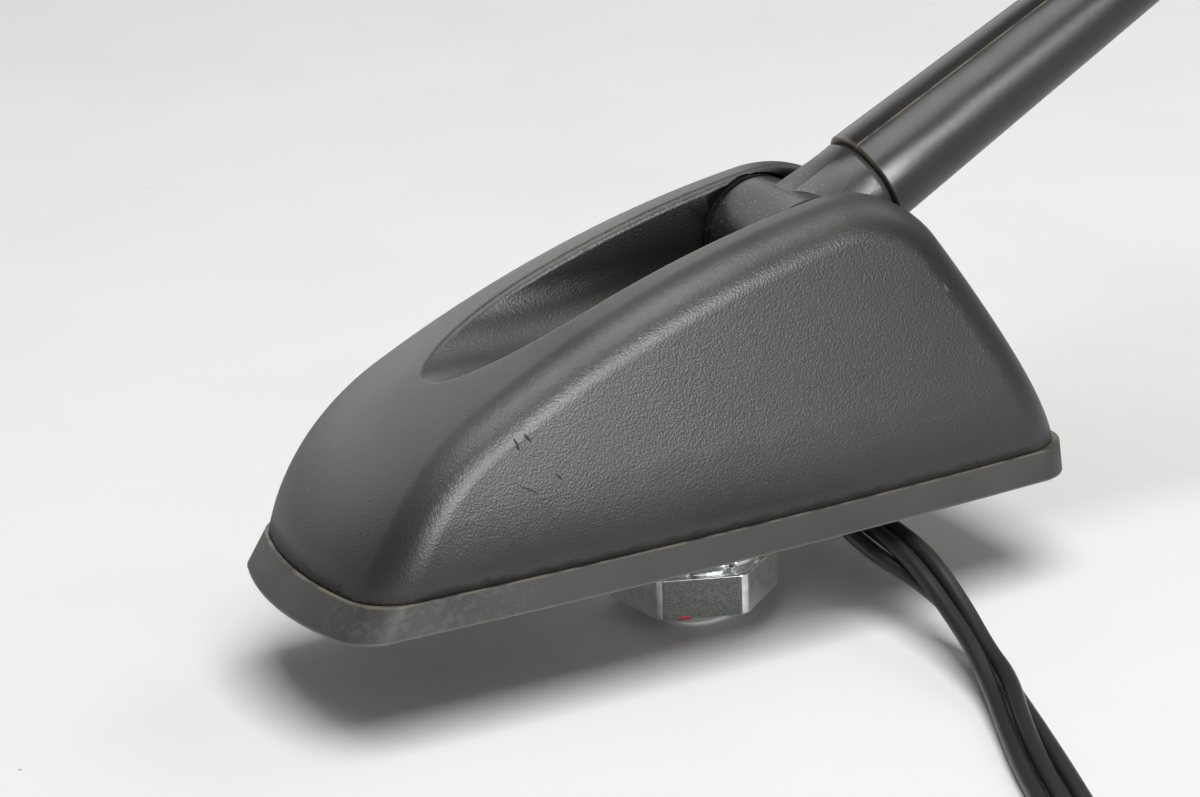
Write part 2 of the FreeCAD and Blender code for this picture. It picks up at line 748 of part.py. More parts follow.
# Mast: a tapering plastic sheath over the radiating rod, whose threaded ferrule screws into the knuckle
def make_mast():
    foot, top = "mast_foot", "mast_foot + mast_length"
    bed = "mast_foot + ferrule_length"
    rod_end = "mast_foot + rod_length"
    tip_arc = "( mast_tip_radius ^ 2 + mast_tip_round ^ 2 ) / ( 2 * mast_tip_round )"
    sheath = turned(
        "mast_sheath",
        [
            ("ferrule_radius", foot), ("mast_foot_radius - mast_lip", foot),
            ("mast_foot_radius", f"{foot} + mast_lip"), ("mast_tip_radius", f"{top} - mast_tip_round"),
            ("0", top),
            ("0", rod_end), ("rod_radius", rod_end), ("rod_radius", bed), ("ferrule_radius", bed),
        ],
        {3: "-" + tip_arc},
    )
    thread_end = "neck_end - mast_thread_length"
    ferrule = turned(
        "mast_ferrule",
        [
            ("0", thread_end), ("mast_thread_radius", thread_end),
            ("mast_thread_radius", foot), ("ferrule_radius", foot), ("ferrule_radius", bed), ("0", bed),
        ],
    )
    rod = turned(
        "radiator_rod",
        [("0", bed), ("rod_radius", bed), ("rod_radius", rod_end), ("0", rod_end)],
    )
    ring = turned(
        "collar_ring",
        [
            ("mast_thread_radius + thread_clearance", "neck_end"), ("ring_radius", "neck_end"),
            ("ring_radius", foot), ("mast_thread_radius + thread_clearance", foot),
        ],
    )
    return [sheath, ferrule, rod, ring]


# Mounting nut with turned corners and a round bearing collar, and the toothed washer that lies on it
def make_nut_and_washer():
    hexagon = primitive("Prism", "nut_hexagon", Circumradius="nut_width / sqrt( 3 )", Height="nut_height")
    hexagon.Polygon = 6
    hexagon.Placement = FreeCAD.Placement(V(), FreeCAD.Rotation(V(0, 0, 1), 30))
    bind(hexagon, Placement__Rotation__Angle="nut_turn")
    place(hexagon, z="-nut_top - nut_height")
    rounder = primitive("Cylinder", "nut_rounder", Radius="nut_corner_radius", Height="nut_height")
    place(rounder, z="-nut_top - nut_height")
    edges = doc.addObject("Part::MultiCommon", "nut_blank")
    edges.Shapes = [hexagon, rounder]
    collar = primitive("Cylinder", "nut_collar", Radius="nut_collar_radius", Height="nut_collar_height")
    place(collar, z="-nut_top")
    blank = fused("nut_turned", [edges, collar])
    thread = primitive(
        "Cylinder", "nut_thread", Radius="stud_radius + thread_clearance", Height="3 * nut_height"
    )
    place(thread, z="-nut_top - 2 * nut_height")
    nut = cut("mounting_nut", blank, thread)

    disc = primitive("Cylinder", "washer_disc", Radius="washer_radius", Height="washer_thickness")
    place(disc, z="-nut_top + nut_collar_height")
    gaps = []
    for number in range(washer_teeth):
        gap = primitive(
            "Box", f"washer_gap_{number}", Length="2 * washer_tooth_depth", Width="washer_tooth_depth",
            Height="3 * washer_thickness",
        )
        angle = 360 / washer_teeth * number
        root, aside = "( washer_radius - washer_tooth_depth )", "washer_tooth_depth / 2"
        gap.Placement = FreeCAD.Placement(V(), FreeCAD.Rotation(V(0, 0, 1), angle))
        place(
            gap,
            f"{root} * cos( {angle} ) + {aside} * sin( {angle} )",
            f"{root} * sin( {angle} ) - {aside} * cos( {angle} )",
            "-nut_top + nut_collar_height - washer_thickness",
        )
        gaps.append(gap)
    hole = primitive(
        "Cylinder", "washer_hole", Radius="stud_radius + piece_clearance / 2", Height="3 * washer_thickness"
    )
    place(hole, z="-nut_top + nut_collar_height - washer_thickness")
    washer = cut("tooth_washer", disc, fused("washer_cuts", gaps + [hole]))
    return [nut, washer]


washer_teeth = 12


def block(name, x, y, z, length, width, height):
    piece = primitive("Box", name, Length=length, Width=width, Height=height)
    place(piece, x, y, z)
    return piece


def drilled(name, blank, places, radius, bottom, height):
    """The blank with a straight hole at each place."""
    tools = []
    for number, (x, y) in enumerate(places):
        tool = primitive("Cylinder", f"{name}_hole_{number}", Radius=radius, Height=height)
        place(tool, x, y, bottom)
        tools.append(tool)
    return cut(name, blank, fused(name + "_holes", tools))


# Circuit board on its standoffs, with the shield can, the satellite patch and the mast's contact strip
def make_board():
    under = "gasket_flange + plate_thickness + standoff_height"
    top = f"{under} + board_thickness"
    width = "2 * board_half"
    edge = "-board_half"
    blank = block("board_blank", "-board_front", edge, under, "board_length", width, "board_thickness")
    hole = "screw_radius + piece_clearance / 2"
    board = drilled(
        "circuit_board", blank, board_holes, hole, f"{under} - board_thickness", "3 * board_thickness"
    )
    can = cut(
        "shield_can",
        block("can_outside", "-can_front", "-can_half", top, "can_length", "2 * can_half", "can_height"),
        block(
            "can_inside", "-can_front + can_wall", "-can_half + can_wall", f"{top} - can_wall",
            "can_length - 2 * can_wall", "2 * ( can_half - can_wall )", "can_height",
        ),
    )
    side = "2 * patch_half"
    patch = block("satellite_patch", "-patch_front", "-patch_half", top, side, side, "patch_thickness")
    strip = new_body("contact_strip")
    fold = sketch_on(strip, "strip_line", "XZ_Plane")
    wall = "hinge_back - bracket_foot_reach"
    bend = f"{wall} - strip_thickness"
    tail = "-board_front + board_length - strip_start"
    outline(
        fold,
        [
            (tail, top), (bend, top), (bend, f"{top} - strip_drop"), (wall, f"{top} - strip_drop"),
            (wall, f"{top} + strip_thickness"), (tail, f"{top} + strip_thickness"),
        ],
    )
    feature(strip, "Pad", "strip", fold, Length="2 * strip_half", Midplane=True)
    return [board, can, patch, strip]


def screws(name, places, seat, length, upward):
    """Pan-head screws, each standing on its head's seat, driven up or down."""
    pieces = []
    for number, (x, y) in enumerate(places):
        shank = primitive("Cylinder", f"{name}_shank_{number}", Radius="screw_radius", Height=length)
        head = primitive("Cylinder", f"{name}_head_{number}", Radius="screw_head_radius")
        bind(head, Height="screw_head_height")
        place(shank, x, y, seat if upward else f"{seat} - {length}")
        place(head, x, y, f"{seat} - screw_head_height" if upward else seat)
        pieces.append(fused(f"{name}_{number}", [shank, head]))
    return together(name, pieces)


# Cable boot: a rubber grommet pressed into the base plate's cable hole, turned towards the near side
def make_boot():
    body = new_body("cable_boot")
    side = sketch_on(body, "boot_line", "YZ_Plane", "boot_back")
    plate_top = "gasket_flange + plate_thickness"
    outline(
        side,
        [
            ("boot_far", plate_top), ("boot_far", "-boot_far_drop"), ("-boot_heel", "-boot_heel_drop"),
            ("-boot_toe", "-boot_sole"), ("-boot_toe", "-boot_brow"), ("-boot_near", "-boot_neck"),
            ("-boot_near", plate_top),
        ],
    )
    feature(body, "Pad", "boot", side, Length="boot_length", Midplane=True)
    return body


# Cables: three pigtails that leave the boot side by side, twist half round each other as they drop to the
# ground, and fan out to their plugs. Each follows the bundle's line with its own steps aside.
bundle_line = [
    V(24.4, -9.5, -4.5), V(24.4, -17, -4.9), V(24.6, -27, -6.6), V(24.6, -37, -10.2), V(22.9, -46, -13.4),
    V(20.4, -55, -16.2), V(15.6, -66, -16.2), V(10.6, -78, -16.2), V(5.6, -91, -16.2), V(0.2, -104.5, -16.2),
    V(-8, -117.5, -16.2), V(-19, -129, -16.2), V(-33, -139, -14.3), V(-48, -145, -14.3),
]
radio_steps = [
    V(-3.1, 0, 0), V(-2.9, 0, -1.8), V(0.5, 0.6, -2.9), V(1.3, 0.8, -2.3), V(1.9, 0.7, -1.9), V(1.6, -0.3, 0),
    V(2.2, -1, 0.1), V(2.75, -1.15, 0), V(2.75, -1.15, 0), V(2.7, -1.5, 0), V(2.9, -2.3, 0), V(3.1, -3.4, 0),
    V(3, -5.4, 0), V(3, -7.4, 0),
]
satellite_steps = [
    V(0, 0, 0), V(0, 0, 0), V(-0.75, -0.1, 0.4), V(-1.65, -0.1, 0.25), V(-2.05, -0.45, 1.3),
    V(-2.1, 0.5, 1.5), V(-2.2, 1, 0.3), V(-2.75, 1.15, 0), V(-2.75, 1.15, 0), V(-2.7, 1.5, 0),
    V(-2.9, 2.3, 0), V(-3.1, 3.4, 0), V(-3, 5.4, 0), V(-3, 7.4, 0),
]
phone_steps = [
    V(3.1, 0, 0), V(3.1, 0, 0.2), V(1.9, -0.2, 1.15), V(1.2, -0.1, 0.35), V(0.75, -0.2, 0.5),
    V(0.75, -0.2, 2.8), V(0, 0, 1.6), V(0, 0, 0.2), V(0, 0, 0), V(0, 0, 0), V(0, 0, 0), V(0, 0, 0),
    V(0, 0, 0), V(0, 0, 0),
]
run_share = 0.45


def make_cable(name, points):
    """A round cable along straight runs through the points, with tangent arcs at the turns."""
    sides = []
    start = points[0]
    radii = []
    for before, corner, after in zip(points, points[1:], points[2:]):
        back, ahead = before - corner, after - corner
        reach = run_share * min(back.Length, ahead.Length)
        half_turn = (math.pi - back.getAngle(ahead)) / 2
        radii.append(reach / math.tan(half_turn))
        back.normalize()
        ahead.normalize()
        inward = (back + ahead).normalize()
        middle = corner + inward * (radii[-1] / math.cos(half_turn) - radii[-1])
        sides.append(Part.LineSegment(start, corner + back * reach))
        sides.append(Part.Arc(corner + back * reach, middle, corner + ahead * reach))
        start = corner + ahead * reach
    sides.append(Part.LineSegment(start, points[-1]))
    path = Part.Wire([side.toShape() for side in sides])
    radius = sizes["cable_diameter"] / 2
    ring = Part.Wire([Part.Circle(points[0], points[1] - points[0], radius).toShape()])
    cable = doc.addObject("Part::Feature", name)
    cable.Shape = path.makePipeShell([ring], True, False)
    expected = math.pi * radius ** 2 * path.Length
    print(
        name, "length", round(path.Length, 1), "smallest radius", round(min(radii), 1),
        "volume against section times length", round(cable.Shape.Volume / expected, 4),
    )
    return cable


# Plugs: a square housing with a round socket, and a strain relief round the cable's end
def make_plug(name, points):
    heading = points[-1] - points[-2]
    turn = FreeCAD.Rotation(V(1, 0, 0), heading)
    upright = turn.multiply(FreeCAD.Rotation(V(0, 1, 0), 90))
    heading.normalize()

    def rod(label, radius, length, distance):
        piece = primitive("Cylinder", f"{name}_{label}", Radius=radius, Height=length)
        piece.Placement = FreeCAD.Placement(points[-1] + heading * distance, upright)
        return piece

    side = "2 * connector_half"
    housing = primitive("Box", name + "_housing", Length="connector_length", Width=side, Height=side)
    corner = turn.multVec(V(0, -sizes["connector_half"], -sizes["connector_half"]))
    housing.Placement = FreeCAD.Placement(points[-1] + corner, turn)
    sleeve = rod("relief", "relief_radius", "relief_length", -sizes["relief_length"])
    socket = rod("socket", "socket_radius", "socket_depth", sizes["connector_length"] - sizes["socket_depth"])
    bore = rod("bore", "cable_diameter / 2", "relief_length", -sizes["relief_length"])
    return cut(name, fused(name + "_moulding", [housing, sleeve]), fused(name + "_hollows", [socket, bore]))


cover = make_cover()
hollow_cover(cover)
nodes = [cover, make_gasket(), make_base_plate(), make_bracket(), *make_hinge_fittings(), make_knuckle()]
nodes += make_mast()
nodes += make_nut_and_washer()
nodes += make_board()
screw_seat = "gasket_flange + screw_head_height + piece_clearance / 2"
board_seat = "gasket_flange + plate_thickness + standoff_height + board_thickness"
nodes.append(screws("cover_screws", boss_places, screw_seat, "screw_length", True))
nodes.append(screws("bracket_screws", bracket_holes, screw_seat, "bracket_screw_length", True))
nodes.append(screws("board_screws", board_holes, board_seat, "board_screw_length", False))
nodes.append(make_boot())
for use, steps in (("radio", radio_steps), ("satellite", satellite_steps), ("phone", phone_steps)):
    route = [point + step for point, step in zip(bundle_line, steps)]
    nodes.append(make_cable(use + "_cable", route))
    nodes.append(make_plug(use + "_plug", route))
doc.recompute()

# Every piece is sound before anything is written
faults = []
for piece in doc.Objects:
    if "Invalid" in piece.State or "Error" in piece.State:
        faults.append((piece.Label, piece.State))
for node in nodes:
    if node.Shape.isNull() or not node.Shape.isValid():
        faults.append((node.Label, "shape"))
if faults:
    raise RuntimeError(f"unsound pieces: {faults}")
os.makedirs("parts", exist_ok=True)
for node in nodes:
    node.Shape.exportStep(f"parts/{node.Label}.step")
    print(node.Label, len(node.Shape.Solids), round(node.Shape.Volume, 1))
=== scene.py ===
import json
import math

import bpy
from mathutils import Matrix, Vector


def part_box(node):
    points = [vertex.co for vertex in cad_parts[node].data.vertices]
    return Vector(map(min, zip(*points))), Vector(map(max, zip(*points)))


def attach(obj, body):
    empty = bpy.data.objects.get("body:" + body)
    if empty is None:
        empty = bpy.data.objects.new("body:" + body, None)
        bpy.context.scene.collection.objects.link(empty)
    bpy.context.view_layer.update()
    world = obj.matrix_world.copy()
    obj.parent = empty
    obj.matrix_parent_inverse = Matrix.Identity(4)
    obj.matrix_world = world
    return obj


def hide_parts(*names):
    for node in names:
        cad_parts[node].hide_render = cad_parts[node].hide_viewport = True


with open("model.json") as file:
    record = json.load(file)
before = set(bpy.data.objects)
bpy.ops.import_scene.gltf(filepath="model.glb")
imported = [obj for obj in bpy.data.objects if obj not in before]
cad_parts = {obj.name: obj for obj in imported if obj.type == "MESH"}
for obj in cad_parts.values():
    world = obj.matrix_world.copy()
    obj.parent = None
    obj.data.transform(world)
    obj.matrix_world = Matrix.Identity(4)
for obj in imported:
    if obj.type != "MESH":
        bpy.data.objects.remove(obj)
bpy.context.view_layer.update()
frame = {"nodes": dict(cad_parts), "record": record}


# Base plate with its stud, and the hinge bracket that is screwed to it. Both are zinc die castings with the
# slightly pitted skin of the die; the nut runs on the stud and draws the plate down on to the roof.
def new_finish(name, colour, roughness, metallic=0.0):
    finish = bpy.data.materials.new(name)
    finish.use_nodes = True
    shader = finish.node_tree.nodes["Principled BSDF"]
    shader.inputs["Base Color"].default_value = (*colour, 1.0)
    shader.inputs["Roughness"].default_value = roughness
    shader.inputs["Metallic"].default_value = metallic
    return finish


def join(finish, value, socket):
    """A link where value comes out of another node, and otherwise a plain setting."""
    if hasattr(value, "is_output"):
        finish.node_tree.links.new(value, socket)
    elif socket.type == "RGBA":
        socket.default_value = (*value, 1.0)
    else:
        socket.default_value = value


def node_in(finish, kind, settings=None, **values):
    node = finish.node_tree.nodes.new("ShaderNode" + kind)
    for name, value in (settings or {}).items():
        setattr(node, name, value)
    for name, value in values.items():
        join(finish, value, node.inputs[name.replace("_", " ")])
    return node


def wire(finish, value, name):
    join(finish, value, finish.node_tree.nodes["Principled BSDF"].inputs[name])


def place_in(finish):
    return node_in(finish, "TexCoord").outputs["Object"]


def range_of(finish, value, low, high, start=0.0, end=1.0):
    """value, mapped from low and high to start and end, and held between them."""
    node = node_in(finish, "MapRange", {"interpolation_type": "SMOOTHSTEP"}, Value=value)
    for name, number in zip(("From Min", "From Max", "To Min", "To Max"), (low, high, start, end)):
        node.inputs[name].default_value = number
    return node.outputs["Result"]


def cloudy(finish, scale, detail=3.0):
    """Soft irregular patches, about 1 / scale metres across."""
    return node_in(finish, "TexNoise", Vector=place_in(finish), Scale=scale, Detail=detail).outputs["Fac"]


def raised(finish, height, depth):
    """height as bumps of that depth in metres."""
    bump = node_in(finish, "Bump", Height=height, Distance=depth)
    wire(finish, bump.outputs["Normal"], "Normal")


def dress(nodes, finish):
    """A finish on solids whose own shape is shown."""
    for node in nodes:
        frame["nodes"][node].data.materials.clear()
        frame["nodes"][node].data.materials.append(finish)


cast_zinc = new_finish("cast_zinc", (0.5, 0.5, 0.51), 0.45, metallic=0.9)
raised(cast_zinc, cloudy(cast_zinc, 1200.0), 0.00002)
wire(cast_zinc, range_of(cast_zinc, cloudy(cast_zinc, 300.0), 0.3, 0.7, 0.35, 0.55), "Roughness")
dress(("base_plate", "hinge_bracket"), cast_zinc)


# Circuit board and satellite patch, screwed to the base plate's standoffs inside the cover. The board is
# glass laminate under green lacquer, the patch a fired ceramic block.
solder_mask = new_finish("solder_mask", (0.05, 0.22, 0.1), 0.35)
raised(solder_mask, cloudy(solder_mask, 2500.0), 0.00001)
dress(("circuit_board",), solder_mask)
fired_ceramic = new_finish("fired_ceramic", (0.74, 0.7, 0.62), 0.5)
raised(fired_ceramic, cloudy(fired_ceramic, 1800.0), 0.00001)
dress(("satellite_patch",), fired_ceramic)


# Ferrule, rod and contact strip. Turned and rolled brass inside the mast and the base.
turned_brass = new_finish("turned_brass", (0.71, 0.55, 0.28), 0.35, metallic=1.0)
raised(turned_brass, cloudy(turned_brass, 1500.0), 0.00001)
dress(("mast_ferrule", "radiator_rod", "contact_strip"), turned_brass)


# Mounting nut and toothed washer, and the small steel pieces inside. Zinc-plated steel; the nut's flat that
# faces front is coloured dark with paler spots and made rougher, and a dab of red at its lower edge marks it
# as checked.
def skin_of(node, body, finish, angle=35, bevel=0.0):
    """A copy of a solid, joined up so that it shades as one surface, which stands for the solid."""
    weld_distance = 2e-6
    sharp_edge = math.radians(40)
    bpy.ops.object.select_all(action="DESELECT")
    solid = frame["nodes"][node]
    solid.select_set(True)
    bpy.context.view_layer.objects.active = solid
    bpy.ops.object.duplicate()
    piece = bpy.context.object
    piece.name = node + "_skin"
    bpy.ops.object.mode_set(mode="EDIT")
    bpy.ops.mesh.select_all(action="SELECT")
    bpy.ops.mesh.remove_doubles(threshold=weld_distance)
    bpy.ops.object.mode_set(mode="OBJECT")
    if bevel:
        edge = piece.modifiers.new("rounded_edges", "BEVEL")
        edge.width = bevel
        edge.segments = 3
        edge.limit_method = "ANGLE"
        edge.angle_limit = sharp_edge
        bpy.ops.object.modifier_apply(modifier=edge.name)
    bpy.ops.object.shade_smooth_by_angle(angle=math.radians(angle))
    shading = piece.modifiers.new("even_shading", "WEIGHTED_NORMAL")
    shading.keep_sharp = True
    bpy.ops.object.modifier_apply(modifier=shading.name)
    piece.data.materials.clear()
    piece.data.materials.append(finish)
    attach(piece, body)
    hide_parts(node)
    return piece


def combined(finish, operation, first, *others):
    result = first
    for value in others:
        node = node_in(finish, "Math", {"operation": operation})
        join(finish, result, node.inputs[0])
        join(finish, value, node.inputs[1])
        result = node.outputs[0]
    return result


def tinted(finish, factor, under, over):
    """The colour over laid on the colour under, as far as factor says."""
    node = node_in(finish, "Mix", {"data_type": "RGBA"})
    for socket, value in zip((node.inputs[0], node.inputs[6], node.inputs[7]), (factor, under, over)):
        join(finish, value, socket)
    return node.outputs[2]


def specks(finish, scale, size, share):
    """Sparse dots: size is their share of the spacing, share how many of the places have one."""
    dots = node_in(finish, "TexVoronoi", Vector=place_in(finish), Scale=scale)
    kept = node_in(finish, "SeparateColor", Color=dots.outputs["Color"]).outputs["Red"]
    return combined(
        finish, "MULTIPLY", range_of(finish, dots.outputs["Distance"], size, size * 0.5),
        range_of(finish, kept, 1 - share, 1 - share * 0.9),
    )


def facing(finish, direction):
    """How far the surface looks in a direction."""
    dot = node_in(finish, "VectorMath", {"operation": "DOT_PRODUCT"})
    join(finish, node_in(finish, "TexCoord").outputs["Normal"], dot.inputs[0])
    join(finish, direction, dot.inputs[1])
    return dot.outputs["Value"]


def near_point(finish, point, reach):
    """1 at a point, falling to 0 at reach."""
    away = node_in(finish, "VectorMath", {"operation": "DISTANCE"})
    join(finish, place_in(finish), away.inputs[0])
    join(finish, point, away.inputs[1])
    return range_of(finish, away.outputs["Value"], reach, reach * 0.3)


def stroke(finish, middle, turn, size):
    """A thin mark, turn degrees about the Y axis: 1 along its middle, 0 outside size."""
    frame_of_mark = node_in(finish, "Mapping", {"vector_type": "TEXTURE"}, Vector=place_in(finish))
    join(finish, middle, frame_of_mark.inputs["Location"])
    join(finish, (0.0, math.radians(turn), 0.0), frame_of_mark.inputs["Rotation"])
    join(finish, size, frame_of_mark.inputs["Scale"])
    away = node_in(finish, "VectorMath", {"operation": "LENGTH"}, Vector=frame_of_mark.outputs["Vector"])
    return range_of(finish, away.outputs["Value"], 1.0, 0.5)


front_flat_facing = (-0.4, -0.917, 0.0)
red_dab = (-0.0073, -0.0099, -0.0139)
dab_size = (0.0013, 0.0012, 0.0005)
fresh_plating, aged_plating = (0.78, 0.8, 0.79), (0.6, 0.62, 0.61)
dark_flat_colour, dark_flat_spots = (0.07, 0.074, 0.07), (0.12, 0.126, 0.12)
red_paint = (0.5, 0.03, 0.03)
zinc_steel = new_finish("zinc_steel", (0.75, 0.76, 0.75), 0.3, metallic=1.0)
raised(zinc_steel, cloudy(zinc_steel, 1500.0), 0.000008)
# The flat facing front is coloured dark with paler spots and made rougher.
front_flat_mask = range_of(zinc_steel, facing(zinc_steel, front_flat_facing), 0.9, 0.98)
spots = range_of(zinc_steel, cloudy(zinc_steel, 4500.0), 0.4, 0.62)
dark_flat_spotted = tinted(zinc_steel, spots, dark_flat_colour, dark_flat_spots)
patches = range_of(zinc_steel, cloudy(zinc_steel, 500.0), 0.45, 0.75)
plated = tinted(zinc_steel, patches, fresh_plating, aged_plating)
plated = tinted(zinc_steel, front_flat_mask, plated, dark_flat_spotted)
plated = tinted(zinc_steel, stroke(zinc_steel, red_dab, 0, dab_size), plated, red_paint)
wire(zinc_steel, plated, "Base Color")
wire(zinc_steel, range_of(zinc_steel, front_flat_mask, 0.0, 1.0, 0.28, 0.6), "Roughness")
for node in ("mounting_nut", "tooth_washer"):
    skin_of(node, "base", zinc_steel, bevel=0.0003)
dress(("hinge_pin", "pin_clips", "shield_can"), zinc_steel)
dress(("cover_screws", "bracket_screws", "board_screws"), zinc_steel)


# Base gasket. A moulded rubber ring that the whole base stands on; it flares out at the nose and is
# smoother and duller than the cover. Tan dust lies along its upper edge, and its corner is scuffed.
gasket_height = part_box("base_gasket")[1][2]
gasket_front_corner = (-0.0556, -0.0216, 0.0015)
black_rubber, hazy_rubber = (0.034, 0.034, 0.034), (0.05, 0.049, 0.046)
scuff_grey, dust_tan, foot_grey = (0.075, 0.073, 0.068), (0.15, 0.135, 0.1), (0.13, 0.125, 0.11)
gasket_rubber = new_finish("gasket_rubber", black_rubber, 0.55)
raised(gasket_rubber, cloudy(gasket_rubber, 900.0), 0.00002)
gasket_up = node_in(gasket_rubber, "SeparateXYZ", Vector=place_in(gasket_rubber)).outputs["Z"]
haze = range_of(gasket_rubber, cloudy(gasket_rubber, 60.0), 0.4, 0.7)
worn = tinted(gasket_rubber, haze, black_rubber, hazy_rubber)
scuffs = combined(
    gasket_rubber, "MULTIPLY", near_point(gasket_rubber, gasket_front_corner, 0.022),
    range_of(gasket_rubber, cloudy(gasket_rubber, 900.0, detail=5.0), 0.48, 0.66),
)
worn = tinted(gasket_rubber, scuffs, worn, scuff_grey)
dusty_edge = combined(
    gasket_rubber, "MULTIPLY",
    range_of(gasket_rubber, gasket_up, gasket_height - 0.00025, gasket_height - 0.0001),
    range_of(gasket_rubber, cloudy(gasket_rubber, 260.0), 0.35, 0.6),
)
worn = tinted(gasket_rubber, dusty_edge, worn, dust_tan)
worn = tinted(gasket_rubber, range_of(gasket_rubber, gasket_up, 0.0004, 0.0001), worn, foot_grey)
worn = tinted(gasket_rubber, specks(gasket_rubber, 240.0, 0.05, 0.1), worn, (0.4, 0.39, 0.36))
wire(gasket_rubber, worn, "Base Color")
gasket_gloss = range_of(gasket_rubber, cloudy(gasket_rubber, 120.0), 0.3, 0.7, 0.48, 0.66)
wire(gasket_rubber, gasket_gloss, "Roughness")
skin_of("base_gasket", "base", gasket_rubber, bevel=0.0003)


# Cover. One moulding in charcoal plastic, with the fine pebble grain of an etched tool all over it.
# It stands on the gasket and is screwed to the base plate from below. Dust dulls its top and dirt roughens
# its foot;
# a near-black band along its lowest edge is painted shade in the seam.
grain_spacing = 0.00036
grain_depth = 0.00006
charcoal, dust_grey = (0.018, 0.0182, 0.0192), (0.065, 0.0635, 0.058)
upward = (0.0, 0.0, 1.0)
dark_marks = (
    ((-0.0380, -0.0201, 0.0257), 56, (0.0010, 0.001, 0.00028)),
    ((-0.0398, -0.0201, 0.0253), 67, (0.0010, 0.001, 0.00020)),
    ((-0.0397, -0.0203, 0.0246), 46, (0.0006, 0.001, 0.00018)),
    ((-0.0388, -0.0215, 0.0184), 30, (0.0024, 0.001, 0.00013)),
    ((-0.0339, -0.0215, 0.0193), 48, (0.0009, 0.001, 0.00020)),
)
pale_mark = ((0.0348, -0.0193, 0.0342), 65, (0.0009, 0.001, 0.00028))
grained_plastic = new_finish("grained_plastic", charcoal, 0.36)
raised(grained_plastic, cloudy(grained_plastic, 1 / grain_spacing, detail=2.0), grain_depth)
dust = combined(
    grained_plastic, "MULTIPLY",
    range_of(grained_plastic, facing(grained_plastic, upward), 0.25, 0.9),
    range_of(grained_plastic, cloudy(grained_plastic, 45.0), 0.15, 0.6),
)
shade = tinted(grained_plastic, dust, charcoal, dust_grey)
rubbed = 0.0
for middle, turn, size in dark_marks:
    mark = stroke(grained_plastic, middle, turn, size)
    shade = tinted(grained_plastic, mark, shade, (0.008, 0.008, 0.009))
    rubbed = combined(grained_plastic, "ADD", rubbed, mark)
shade = tinted(grained_plastic, stroke(grained_plastic, *pale_mark), shade, (0.13, 0.13, 0.13))
shade = tinted(grained_plastic, specks(grained_plastic, 260.0, 0.045, 0.08), shade, (0.24, 0.235, 0.215))
cover_up = node_in(grained_plastic, "SeparateXYZ", Vector=place_in(grained_plastic)).outputs["Z"]
# Painted shade: a near-black band just above the gasket stands for the shade in the seam.
painted_seam_shade = range_of(grained_plastic, cover_up, gasket_height + 0.0004, gasket_height + 0.0002)
wire(grained_plastic, tinted(grained_plastic, painted_seam_shade, shade, (0.004, 0.004, 0.004)), "Base Color")
uneven = range_of(grained_plastic, cloudy(grained_plastic, 35.0), 0.3, 0.7, 0.37, 0.43)
foot_low, foot_high = gasket_height + 0.001, gasket_height + 0.003
dirty_foot = range_of(grained_plastic, cover_up, foot_high, foot_low, 0.0, 0.3)
rubbed = combined(grained_plastic, "MULTIPLY", rubbed, 0.4)
wire(grained_plastic, combined(grained_plastic, "ADD", uneven, dirty_foot, rubbed), "Roughness")
skin_of("cover", "base", grained_plastic, angle=50)


# Hinge knuckle and friction discs. The knuckle is a glass-filled moulding, smoother than the cover:
# a barrel on the hinge pin and a neck that the mast screws on to. Brown grit lies on the barrel.
hinge_place = tuple(frame["record"]["behaviour"]["joints"][0]["pos_m"])
satin_plastic = new_finish("satin_plastic", (0.018, 0.018, 0.019), 0.36)
raised(satin_plastic, cloudy(satin_plastic, 1100.0), 0.00002)
by_hinge = near_point(satin_plastic, hinge_place, 0.018)
gritty = combined(satin_plastic, "MULTIPLY", by_hinge, specks(satin_plastic, 1800.0, 0.32, 0.6))
veiled = tinted(
    satin_plastic, combined(satin_plastic, "MULTIPLY", by_hinge, cloudy(satin_plastic, 160.0)),
    (0.016, 0.016, 0.017), (0.045, 0.041, 0.036),
)
wire(satin_plastic, tinted(satin_plastic, gritty, veiled, (0.24, 0.19, 0.13)), "Base Color")
wire(satin_plastic, range_of(satin_plastic, cloudy(satin_plastic, 90.0), 0.3, 0.7, 0.32, 0.42), "Roughness")
skin_of("hinge_knuckle", "mast", satin_plastic, bevel=0.0005)
dress(("friction_discs",), satin_plastic)


# Mast and its seal ring. A tapering moulded sheath over the rod that receives; it screws on to the neck
# and squeezes a thin rubber ring. Dirt shows along the mould's parting line and round the sheath's foot.
mast_lean = math.radians(27.3)
mast_foot = 0.0164
along_mast = (math.cos(mast_lean), 0.0, math.sin(mast_lean))
parting_turn = math.radians(22)
across_parting = (
    -math.sin(mast_lean) * math.sin(parting_turn),
    math.cos(parting_turn),
    math.cos(mast_lean) * math.sin(parting_turn),
)
mast_black, parting_dirt, ring_dirt = (0.009, 0.009, 0.01), (0.2, 0.17, 0.11), (0.16, 0.14, 0.1)
mast_plastic = new_finish("mast_plastic", mast_black, 0.35)
raised(mast_plastic, cloudy(mast_plastic, 700.0), 0.000025)
from_hinge = node_in(mast_plastic, "VectorMath", {"operation": "SUBTRACT"})
join(mast_plastic, place_in(mast_plastic), from_hinge.inputs[0])
join(mast_plastic, hinge_place, from_hinge.inputs[1])


def reach_along(finish, place, direction):
    """How far a place lies in a direction."""
    dot = node_in(finish, "VectorMath", {"operation": "DOT_PRODUCT"})
    join(finish, place, dot.inputs[0])
    join(finish, direction, dot.inputs[1])
    return dot.outputs["Value"]


